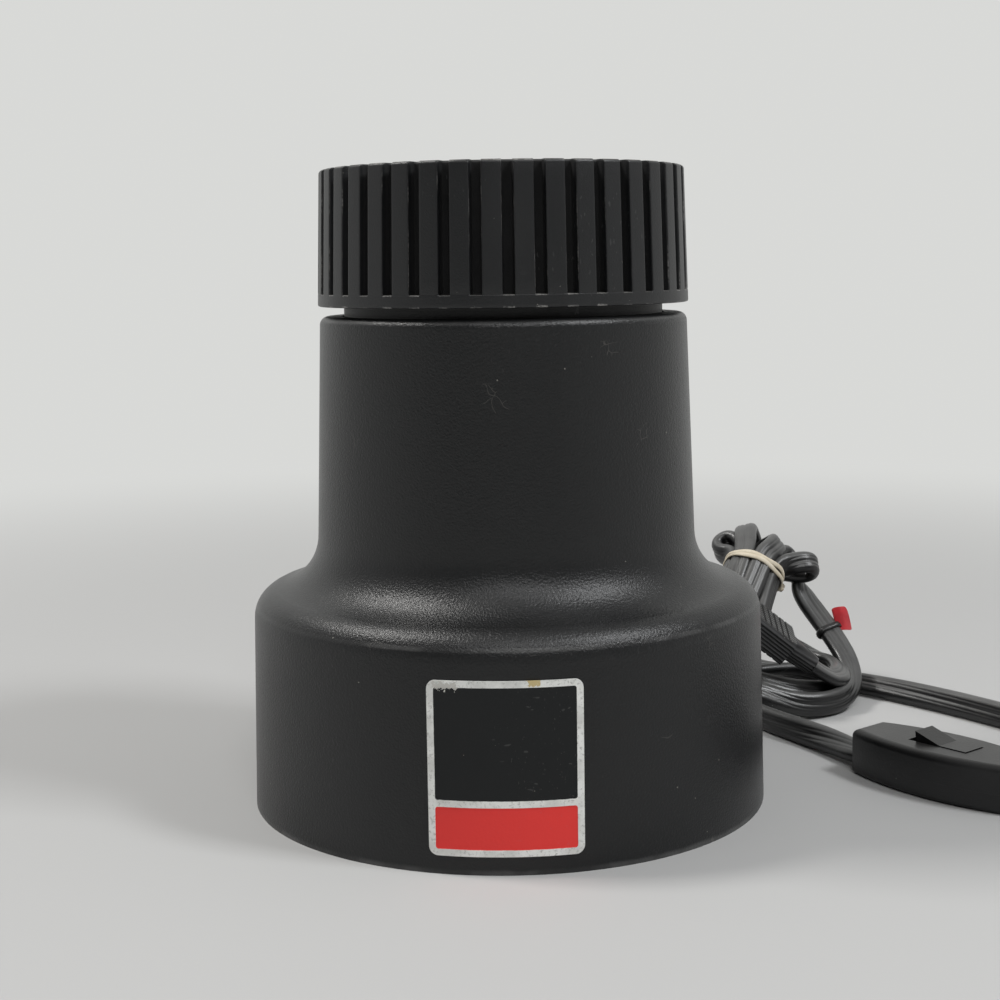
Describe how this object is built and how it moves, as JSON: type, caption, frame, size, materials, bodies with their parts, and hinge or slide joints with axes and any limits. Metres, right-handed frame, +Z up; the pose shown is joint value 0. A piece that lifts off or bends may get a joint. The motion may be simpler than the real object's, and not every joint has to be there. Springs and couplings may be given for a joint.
{
  "type": "enlarger lamphouse head",
  "caption": "Bell-shaped enlarger lamphouse with a ribbed lift-out cap that carries the lamp, condenser lenses in its drum, and a tied flat mains lead with an in-line switch.",
  "frame": {"origin": "centre of the drum's bottom rim, in the plane the head stands on", "axes": "+Z up along the optical axis, -Y towards the name plate, +X to the right seen from the name plate's side"},
  "size_m": [0.2734, 0.2206, 0.1844],
  "materials": {
    "housing_paint": "matt black enamel with a fine sand texture",
    "cap_plastic": "semi-matt black moulding with worn rib edges",
    "collar_black": "matt black",
    "plate_aluminium": "etched, with printed black and red fields",
    "spring_steel": "oiled",
    "plated_steel": "zinc plated",
    "rivet_aluminium": "plain",
    "opal_glass": "opal white",
    "lamp_shell_metal": "rolled",
    "lamp_insulator_glass": "black glass",
    "porcelain": "glazed",
    "contact_brass": "bright",
    "lens_glass": "polished",
    "cell_aluminium": "turned",
    "moulded_black": "satin moulding",
    "lead_vinyl": "black ribbed vinyl",
    "band_rubber": "natural rubber",
    "tag_red": "plain"
  },
  "bodies": {
    "housing": {"lamphouse_shell": "housing_paint", "keeper_ring": "spring_steel", "lower_condenser": "lens_glass", "upper_condenser": "lens_glass", "condenser_cell": "cell_aluminium", "lens_spacer": "cell_aluminium", "lens_retainer": "spring_steel", "base_ring": "collar_black", "base_screws": "plated_steel", "cell_screws": "plated_steel", "nameplate": "plate_aluminium", "gland_body": "moulded_black", "gland_nut": "moulded_black", "strain_relief": "lead_vinyl", "lead_out": "lead_vinyl", "lead_back": "lead_vinyl", "outer_loop": "lead_vinyl", "plug_lead": "lead_vinyl", "hank": "lead_vinyl", "rubber_band": "band_rubber", "lead_tag": "tag_red", "switch_case_bottom": "moulded_black", "switch_case_top": "moulded_black", "switch_pin": "plated_steel", "switch_screws": "plated_steel", "switch_contacts": "contact_brass", "plug_body": "lead_vinyl", "plug_blades": "contact_brass"},
    "mouth_ring": {"grip_ring": "spring_steel"},
    "lamp_carrier": {"vent_cap": "cap_plastic", "collar": "collar_black", "socket_bridge": "plated_steel", "collar_rivets": "rivet_aluminium", "cap_screws": "plated_steel", "lamp_bulb": "opal_glass", "lamp_base": "lamp_shell_metal", "lamp_insulator": "lamp_insulator_glass", "lamp_tip": "lamp_shell_metal", "socket_body": "porcelain", "socket_shell": "contact_brass", "socket_contact": "contact_brass", "terminal_screws": "contact_brass", "inner_lead": "lead_vinyl"},
    "rocker": {"switch_rocker": "moulded_black"}
  },
  "joints": [
    {"name": "cap_turn", "type": "hinge", "parent": "housing", "child": "mouth_ring", "pos_m": [0, 0, 0.135], "axis": [0, 0, 1], "range_deg": [-90, 90]},
    {"name": "cap_lift", "type": "slide", "parent": "mouth_ring", "child": "lamp_carrier", "axis": [0, 0, 1], "range_m": [-0.0024, 0.1], "deforming": ["inner_lead"]},
    {"name": "rocker_tip", "type": "hinge", "parent": "housing", "child": "rocker", "pos_m": [0.12964, -0.00921, 0.0095], "axis": [-0.766, -0.6428, 0], "range_deg": [0, 18]}
  ]
}
